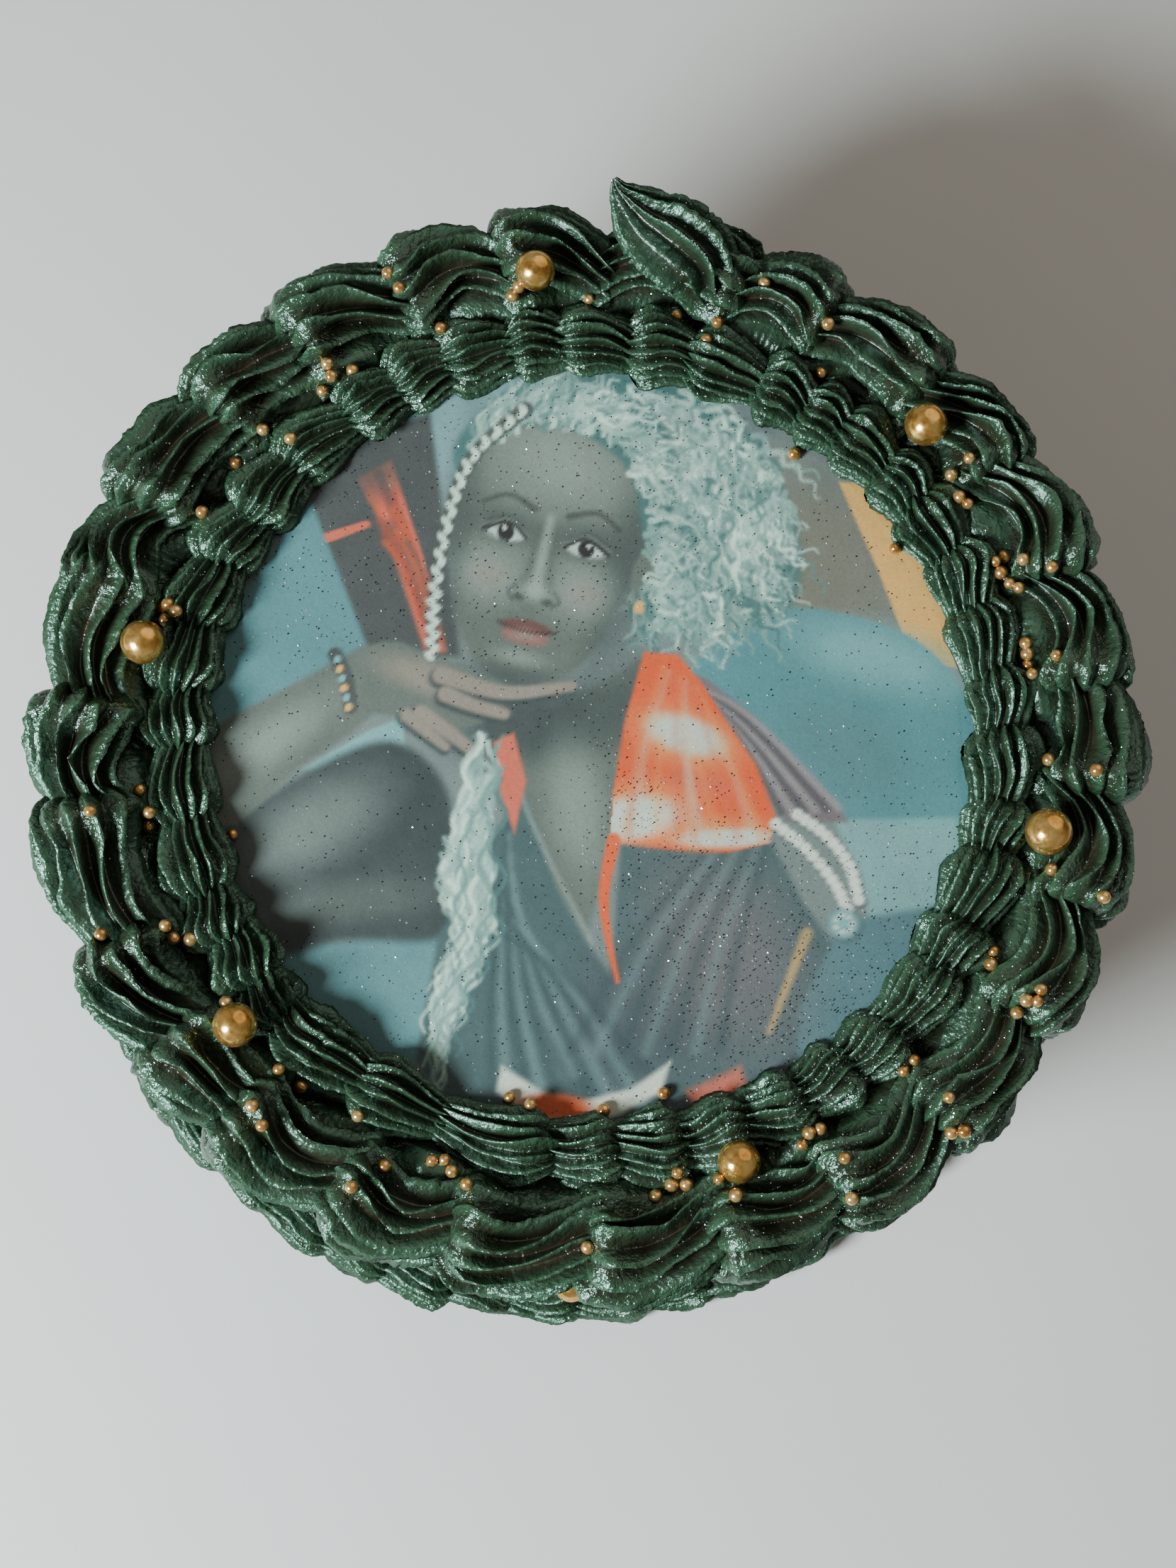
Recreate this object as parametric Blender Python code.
"""A round photo cake: frosted body, picture sheet, three piped borders and sugar pearls.

Metres, +Z up. The origin is the middle of the flat underside, and the picture's foot points to -Y.
"""

import math
import random

import bmesh
import bpy
from mathutils import Matrix, Vector
from mathutils.bvhtree import BVHTree

MM = 0.001
SEED = 41

# Frosted body, in millimetres like every size below
BODY_RADIUS = 106.5
BODY_HEIGHT = 100.0
BODY_SIDES = 96
BODY_EDGE = 2.0
CLEARANCE = 0.3

# Picture sheet, which reaches in under the small border
SHEET_RADIUS = 90.8
SHEET_THICKNESS = 0.8
SHEET_BOTTOM = BODY_HEIGHT + CLEARANCE
SHEET_TOP = SHEET_BOTTOM + SHEET_THICKNESS

# Ends of the piped shells round the top, in degrees, each shell running to the next end
INNER_ENDS = (
    181.0, 173.0, 163.6, 154.4, 146.1, 136.7, 126.0, 118.1, 110.0, 100.7, 93.1, 83.0, 74.1, 63.8,
    56.7, 50.0, 42.0, 34.8, 26.3, 17.6, 8.0, -1.0, -10.6, -18.4, -28.7, -36.2, -46.6, -54.1, -62.0,
    -70.8, -79.6, -88.6, -98.1, -110.9, -121.4, -130.4, -137.6, -143.8, -151.1, -158.5, -168.9,
)
OUTER_ENDS = (
    163.5, 152.2, 138.8, 126.4, 112.6, 100.1, 88.7, 73.5, 61.8, 47.8, 35.0, 21.3, 7.7, -5.2, -18.5,
    -32.6, -47.2, -61.6, -75.1, -89.2, -104.2, -117.9, -131.2, -142.4, -154.2, -169.7, -181.7,
)
BASE_SHELLS = 48

# Where the piping ran the other way, from and to these angles
INNER_REVERSED = (-130.4, -110.9)
OUTER_REVERSED = (-196.5, 88.7)

# The swirl that closes the large border: its foot, its body and its pulled-up tip
SWIRL_PATH = (
    (75.5, 98.0, 105.0, 5.5),
    (77.5, 102.0, 109.0, 9.3),
    (80.5, 104.8, 110.7, 10.7),
    (84.3, 108.4, 112.6, 8.8),
    (87.2, 112.2, 116.4, 3.6),
    (88.3, 114.4, 119.0, 0.7),
)
SWIRL_RIDGES = 9

# Large pearls: angle, distance from the middle, radius. The last one lies on the foot border.
LARGE_PEARLS = (
    (97.6, 96.6, 4.2), (43.2, 94.2, 4.5), (170.2, 92.1, 4.5), (-13.1, 93.4, 4.8),
    (-139.3, 92.7, 4.4), (-72.0, 91.0, 4.3),
)
LOW_PEARL = (-90.2, 114.2, 4.2)
LOW_PEARL_FROM = 60.0

# Small pearls: angle and distance from the middle
SMALL_PEARL_RADIUS = 1.4
SMALL_PEARL_ROOM = 1.3
SHEET_PEARLS_WITHIN = 80.0
SMALL_PEARLS = (
    (165.7, 90.5), (164.9, 87.9), (164.3, 91.7), (164.1, 90.1), (151.1, 92.0), (143.0, 93.1),
    (137.8, 92.7), (136.4, 86.7), (128.4, 91.3), (126.6, 92.0), (126.1, 94.5), (123.7, 91.2),
    (114.5, 104.7), (114.1, 100.3), (110.6, 91.7), (100.7, 93.6), (99.8, 94.7), (90.7, 93.2),
    (79.1, 92.0), (74.4, 86.7), (73.6, 91.6), (69.6, 102.3), (60.6, 99.3), (58.4, 91.8),
    (55.2, 74.6), (36.6, 96.9), (36.5, 93.2), (33.4, 91.1), (32.7, 75.6), (32.1, 91.9),
    (24.0, 93.8), (23.7, 91.2), (22.3, 95.9), (22.1, 91.4), (20.3, 92.0), (19.9, 99.7),
    (19.3, 93.3), (12.3, 91.6), (10.8, 91.3), (9.6, 96.2), (9.4, 91.2), (8.0, 91.2),
    (7.2, 90.8), (-3.1, 93.5), (-5.0, 101.1), (-17.2, 96.3), (-18.6, 107.4), (-28.9, 92.2),
    (-30.6, 92.8), (-31.0, 102.8), (-32.3, 103.3), (-32.9, 101.4), (-34.3, 101.6), (-46.1, 92.2),
    (-47.1, 101.2), (-48.1, 108.3), (-48.1, 92.3), (-49.2, 106.9), (-60.6, 98.5), (-61.0, 91.6),
    (-62.1, 105.9), (-62.5, 91.2), (-63.9, 92.7), (-73.9, 96.7), (-75.0, 93.0), (-78.8, 92.7),
    (-79.1, 74.3), (-79.7, 90.1), (-80.5, 92.2), (-82.6, 93.9), (-88.5, 76.4), (-90.9, 102.9),
    (-99.5, 76.4), (-102.8, 75.7), (-105.5, 94.2), (-107.6, 92.7), (-108.9, 91.0), (-110.3, 92.0),
    (-115.2, 96.5), (-117.3, 102.8), (-120.9, 90.5), (-128.8, 92.2), (-128.9, 102.5),
    (-131.1, 100.9), (-132.0, 92.6), (-142.5, 91.6), (-151.6, 91.0), (-152.7, 93.9),
    (-154.2, 94.0), (-156.2, 106.0), (-163.7, 76.2), (-167.4, 91.8), (-168.5, 90.7),
    (-169.1, 101.1), (-171.7, 92.2),
)

BUTTERCREAM = (0.035, 0.085, 0.050)
PRINT = (0.16, 0.25, 0.26)
PEARL = (0.56, 0.32, 0.12)


class Border:
    """The sizes of one ring of piped shells and of the ridged section that makes it."""

    def __init__(self, middle, half_width, half_height, ridges, depth, slant, arc, inside, outside,
                 floor):
        self.middle = middle
        self.half_width = half_width
        self.half_height = half_height
        self.ridges = ridges
        self.depth = depth
        self.slant = slant
        self.arc = arc
        self.inside = inside
        self.outside = outside
        self.floor = floor


# Least drop of the large border over the cake's edge
UNDERCUT = 1.5

# Share of the lost fullness that a shell also loses in width
NARROWING = 0.45

# Share of a shell's length, measured from its head, and its fullness there
OUTER_STATIONS = ((0.02, 0.60), (0.18, 1.0), (0.5, 0.93), (0.84, 0.64))
SMALL_STATIONS = ((0.02, 0.62), (0.28, 1.0), (0.76, 0.74))
FOOT_STATIONS = ((0.1, 1.0), (0.82, 0.68))

INNER = Border(
    middle=(84.4, 102.6), half_width=7.0, half_height=7.2, ridges=6, depth=0.20, slant=1.2,
    arc=(196, -16), inside=77.2, outside=91.2, floor=SHEET_TOP + CLEARANCE,
)
OUTER = Border(
    middle=(103.2, 104.4), half_width=11.4, half_height=10.8, ridges=7, depth=0.30, slant=3.6,
    arc=(196, -62), inside=91.6, outside=200.0, floor=BODY_HEIGHT + CLEARANCE,
)
BASE = Border(
    middle=(115.4, 5.5), half_width=9.7, half_height=9.6, ridges=3, depth=0.20, slant=0.0,
    arc=(128, -26), inside=BODY_RADIUS + CLEARANCE, outside=200.0, floor=0.0,
)


def clear_scene():
    """Removes the objects that a new file opens with."""
    for found in list(bpy.data.objects):
        bpy.data.objects.remove(found, do_unlink=True)


def finish(name, colour, roughness):
    """One plain material, its roughness from dull sugar to greasy cream."""
    made = bpy.data.materials.new(name)
    made.use_nodes = True
    shader = made.node_tree.nodes["Principled BSDF"]
    shader.inputs["Base Color"].default_value = (*colour, 1.0)
    shader.inputs["Roughness"].default_value = roughness
    shader.inputs["Metallic"].default_value = 0.0
    return made


def polar(angle, radius, height):
    """A point in metres from an angle in degrees and two distances in millimetres."""
    turn = math.radians(angle)
    return Vector((radius * math.cos(turn), radius * math.sin(turn), height)) * MM


def add_object(name, mesh_builder, material=None):
    """Puts a bmesh into the scene as one object with its faces turned outward."""
    bmesh.ops.recalc_face_normals(mesh_builder, faces=mesh_builder.faces)
    mesh = bpy.data.meshes.new(name)
    mesh_builder.to_mesh(mesh)
    mesh_builder.free()
    made = bpy.data.objects.new(name, mesh)
    bpy.context.scene.collection.objects.link(made)
    if material:
        mesh.materials.append(material)
    return made


def joined_sections(sections, closed_run):
    """Faces between rings of points that follow each other, capped unless the run closes."""
    builder = bmesh.new()
    rings = [[builder.verts.new(point) for point in section] for section in sections]
    count = len(rings[0])
    steps = len(rings) if closed_run else len(rings) - 1
    for index in range(steps):
        here = rings[index]
        there = rings[(index + 1) % len(rings)]
        for side in range(count):
            after = (side + 1) % count
            builder.faces.new((here[side], here[after], there[after], there[side]))
    if not closed_run:
        builder.faces.new(rings[0])
        builder.faces.new(list(reversed(rings[-1])))
    return builder


def disc(name, radius, bottom, top, edge, material):
    """A flat round block whose upper edge is eased by a small chamfer."""
    levels = [(radius, bottom), (radius, top - edge), (radius - edge, top)]
    if edge == 0:
        levels = [(radius, bottom), (radius, top)]
    turns = [360.0 * step / BODY_SIDES for step in range(BODY_SIDES)]
    sections = [[polar(turn, level, height) for turn in turns] for level, height in levels]
    return add_object(name, joined_sections(sections, closed_run=False), material)


def shell_stations(border, ends, reversed_span, stations, rng):
    """Angle, fullness, ridge drift and sideways shift of every section round a border."""
    found = []
    for index, start in enumerate(ends):
        stop = ends[index + 1] if index + 1 < len(ends) else ends[0] - 360.0
        head, tail = start, stop
        if reversed_span[0] <= (start + stop) / 2 <= reversed_span[1]:
            head, tail = stop, start
        swell = rng.uniform(0.93, 1.05)
        drift = rng.uniform(-14.0, 14.0)
        shift = rng.uniform(-0.5, 0.5)
        for place, fullness in stations:
            angle = head + place * (tail - head)
            aside = shift + border.slant * (0.45 - place)
            found.append((angle % 360.0, fullness * swell, drift * (place - 0.4), aside))
    return sorted(found)


def ridged_section(border, station):
    """One closed section of a border: star ridges over the top, then its foot."""
    angle, fullness, drift, shift = station
    middle, height = border.middle
    first, last = border.arc
    steps = 2 * border.ridges
    width = border.half_width * (1.0 - NARROWING * (1.0 - fullness))
    points = []
    for step in range(steps + 1):
        ridge = 1.0 if step % 2 else 1.0 - border.depth
        turn = math.radians(first + (last - first) * step / steps + drift)
        radius = middle + shift + width * ridge * math.cos(turn)
        top = height + border.half_height * fullness * ridge * math.sin(turn)
        radius = min(max(radius, border.inside), border.outside)
        points.append((radius, top))
    return angle, points


def top_border(name, border, ends, reversed_span, stations, material, rng):
    """A border whose foot lies level on the cake, inside the cake's edge."""
    sections = []
    for station in shell_stations(border, ends, reversed_span, stations, rng):
        angle, points = ridged_section(border, station)
        points = [(radius, max(top, border.floor + 0.1 * MM)) for radius, top in points]
        points = [(points[0][0], border.floor), *points[1:-1], (points[-1][0], border.floor)]
        sections.append([polar(angle, radius, top) for radius, top in points])
    return add_object(name, joined_sections(sections, closed_run=True), material)


def edge_border(name, border, ends, reversed_span, stations, material, rng):
    """A border that lies on the cake's rim and hangs a little over it."""
    wall = BODY_RADIUS + CLEARANCE
    sections = []
    for station in shell_stations(border, ends, reversed_span, stations, rng):
        angle, points = ridged_section(border, station)
        kept = []
        for radius, top in points:
            lowest = border.floor if radius < wall + 0.4 else border.floor - 9.0
            kept.append((radius, max(top, lowest)))
        kept[0] = (kept[0][0], border.floor)
        kept[-1] = (max(kept[-1][0], wall + 0.8), min(kept[-1][1], border.floor - UNDERCUT))
        foot = [(wall, kept[-1][1] + 0.5), (wall, border.floor)]
        sections.append([polar(angle, radius, top) for radius, top in kept + foot])
    return add_object(name, joined_sections(sections, closed_run=True), material)


def base_border(name, border, shells, stations, material, rng):
    """The border round the foot of the cake, flat underneath."""
    ends = [180.0 - 360.0 * index / shells for index in range(shells)]
    sections = []
    for station in shell_stations(border, ends, (0.0, 0.0), stations, rng):
        angle, points = ridged_section(border, station)
        kept = [(radius, max(top, 0.4)) for radius, top in points]
        foot = [(kept[-1][0] - 0.8, 0.0), (border.inside, 0.0)]
        kept[0] = (border.inside, kept[0][1])
        sections.append([polar(angle, radius, top) for radius, top in kept + foot])
    return add_object(name, joined_sections(sections, closed_run=True), material)


def closing_swirl():
    """A ridged swirl along a short path that ends in a pulled-out tip."""
    centres = [polar(angle, radius, height) for angle, radius, height, _ in SWIRL_PATH]
    lowest = (OUTER.floor + CLEARANCE) * MM
    sections = []
    for index, centre in enumerate(centres):
        before = centres[max(index - 1, 0)]
        after = centres[min(index + 1, len(centres) - 1)]
        along = (after - before).normalized()
        side = along.cross(Vector((0, 0, 1))).normalized()
        up = side.cross(along)
        size = SWIRL_PATH[index][3] * MM
        points = []
        for step in range(2 * SWIRL_RIDGES):
            turn = math.pi * step / SWIRL_RIDGES + 0.16 * index
            reach = size * (1.0 if step % 2 else 0.72)
            point = centre + side * reach * math.cos(turn) + up * reach * math.sin(turn)
            point.z = max(point.z, lowest)
            points.append(point)
        sections.append(points)
    return add_object("swirl", joined_sections(sections, closed_run=False))


def ball(name, centre, radius, subdivisions, material=None):
    """A faceted sugar pearl."""
    builder = bmesh.new()
    place = Matrix.Translation(centre)
    bmesh.ops.create_icosphere(builder, subdivisions=subdivisions, radius=radius, matrix=place)
    return add_object(name, builder, material)


def surface(target):
    """A search tree over an object's faces."""
    mesh = target.data
    points = [vertex.co.copy() for vertex in mesh.vertices]
    return BVHTree.FromPolygons(points, [tuple(face.vertices) for face in mesh.polygons])


def distance(tree, point):
    """How far a point is from the nearest face, in metres."""
    return tree.find_nearest(point)[3]


def resting_height(trees, angle, radius, size, sunk, clear_of_rest, start=124.0):
    """Lowers a ball until it sinks into one surface by the share sunk, and names that surface."""
    reach = size * MM
    height = start
    while height > 0.0:
        point = polar(angle, radius, height)
        reaches = sorted((distance(tree, point), name) for name, tree in trees.items())
        if reaches[0][0] < reach * (1.0 - sunk):
            clear = reaches[1][0] > reach + CLEARANCE * MM
            return (height, reaches[0][1]) if clear or not clear_of_rest else (None, None)
        height -= 0.1
    return None, None


def combine(target, pieces, operation):
    """One Boolean over a collection of pieces, applied, with the pieces then removed."""
    group = bpy.data.collections.new(target.name + "_pieces")
    bpy.context.scene.collection.children.link(group)
    for piece in pieces:
        bpy.context.scene.collection.objects.unlink(piece)
        group.objects.link(piece)
    modifier = target.modifiers.new(operation.lower(), "BOOLEAN")
    modifier.operation = operation
    modifier.operand_type = "COLLECTION"
    modifier.collection = group
    modifier.solver = "EXACT"
    bpy.context.view_layer.update()
    graph = bpy.context.evaluated_depsgraph_get()
    result = bpy.data.meshes.new_from_object(target.evaluated_get(graph))
    target.modifiers.clear()
    target.data = result
    for piece in pieces:
        bpy.data.objects.remove(piece, do_unlink=True)
    bpy.data.collections.remove(group)


def main():
    """Builds every sub-part, then seats the pearls in the finished borders."""
    clear_scene()
    rng = random.Random(SEED)
    cream = finish("buttercream", BUTTERCREAM, 0.38)
    picture = finish("printed_sheet", PRINT, 0.5)
    sugar = finish("sugar_pearl", PEARL, 0.3)

    disc("cake_body", BODY_RADIUS, 0.0, BODY_HEIGHT, BODY_EDGE, cream)
    sheet = disc("picture_sheet", SHEET_RADIUS, SHEET_BOTTOM, SHEET_TOP, 0, picture)
    inner = top_border("inner_border", INNER, INNER_ENDS, INNER_REVERSED, SMALL_STATIONS, cream, rng)
    outer = edge_border("outer_border", OUTER, OUTER_ENDS, OUTER_REVERSED, OUTER_STATIONS, cream, rng)
    base = base_border("base_border", BASE, BASE_SHELLS, FOOT_STATIONS, cream, rng)
    combine(outer, [closing_swirl()], "UNION")

    borders = {"inner_border": inner, "outer_border": outer, "base_border": base}
    trees = {name: surface(border) for name, border in borders.items()}
    seated = []
    for angle, radius, size in LARGE_PEARLS:
        height, _ = resting_height(trees, angle, radius, size, 0.3, clear_of_rest=False)
        seated.append((polar(angle, radius, height), size))
    angle, radius, size = LOW_PEARL
    height, _ = resting_height(trees, angle, radius, size, 0.3, False, start=LOW_PEARL_FROM)
    seated.append((polar(angle, radius, height), size))
    for index, (place, size) in enumerate(seated, 1):
        ball(f"pearl_{index}", place, size * MM, 2, sugar)
    for name, border in borders.items():
        sockets = []
        for place, size in seated:
            if distance(trees[name], place) < (size + CLEARANCE) * MM:
                sockets.append(ball("socket", place, (size + 1.3 * CLEARANCE) * MM, 2))
        if sockets:
            combine(border, sockets, "DIFFERENCE")

    borders["picture_sheet"] = sheet
    trees = {name: surface(border) for name, border in borders.items()}
    small = SMALL_PEARL_RADIUS
    fused = {name: [] for name in borders}
    for angle, radius in SMALL_PEARLS:
        for outward in range(5):
            reach = radius + 0.5 * outward
            height, name = resting_height(trees, angle, reach, small, 0.4, clear_of_rest=True)
            if height is None or (name == "picture_sheet" and reach > SHEET_PEARLS_WITHIN):
                continue
            point = polar(angle, reach, height)
            room = min((point - other).length - size * MM for other, size in seated)
            if room > (small + SMALL_PEARL_ROOM) * MM:
                seated.append((point, small))
                fused[name].append(ball("small", point, small * MM, 1))
            break
    for name, pieces in fused.items():
        if pieces:
            combine(borders[name], pieces, "UNION")

    for made in bpy.context.scene.collection.objects:
        made.data.shade_smooth()
        made.data.set_sharp_from_angle(angle=math.radians(32))


main()
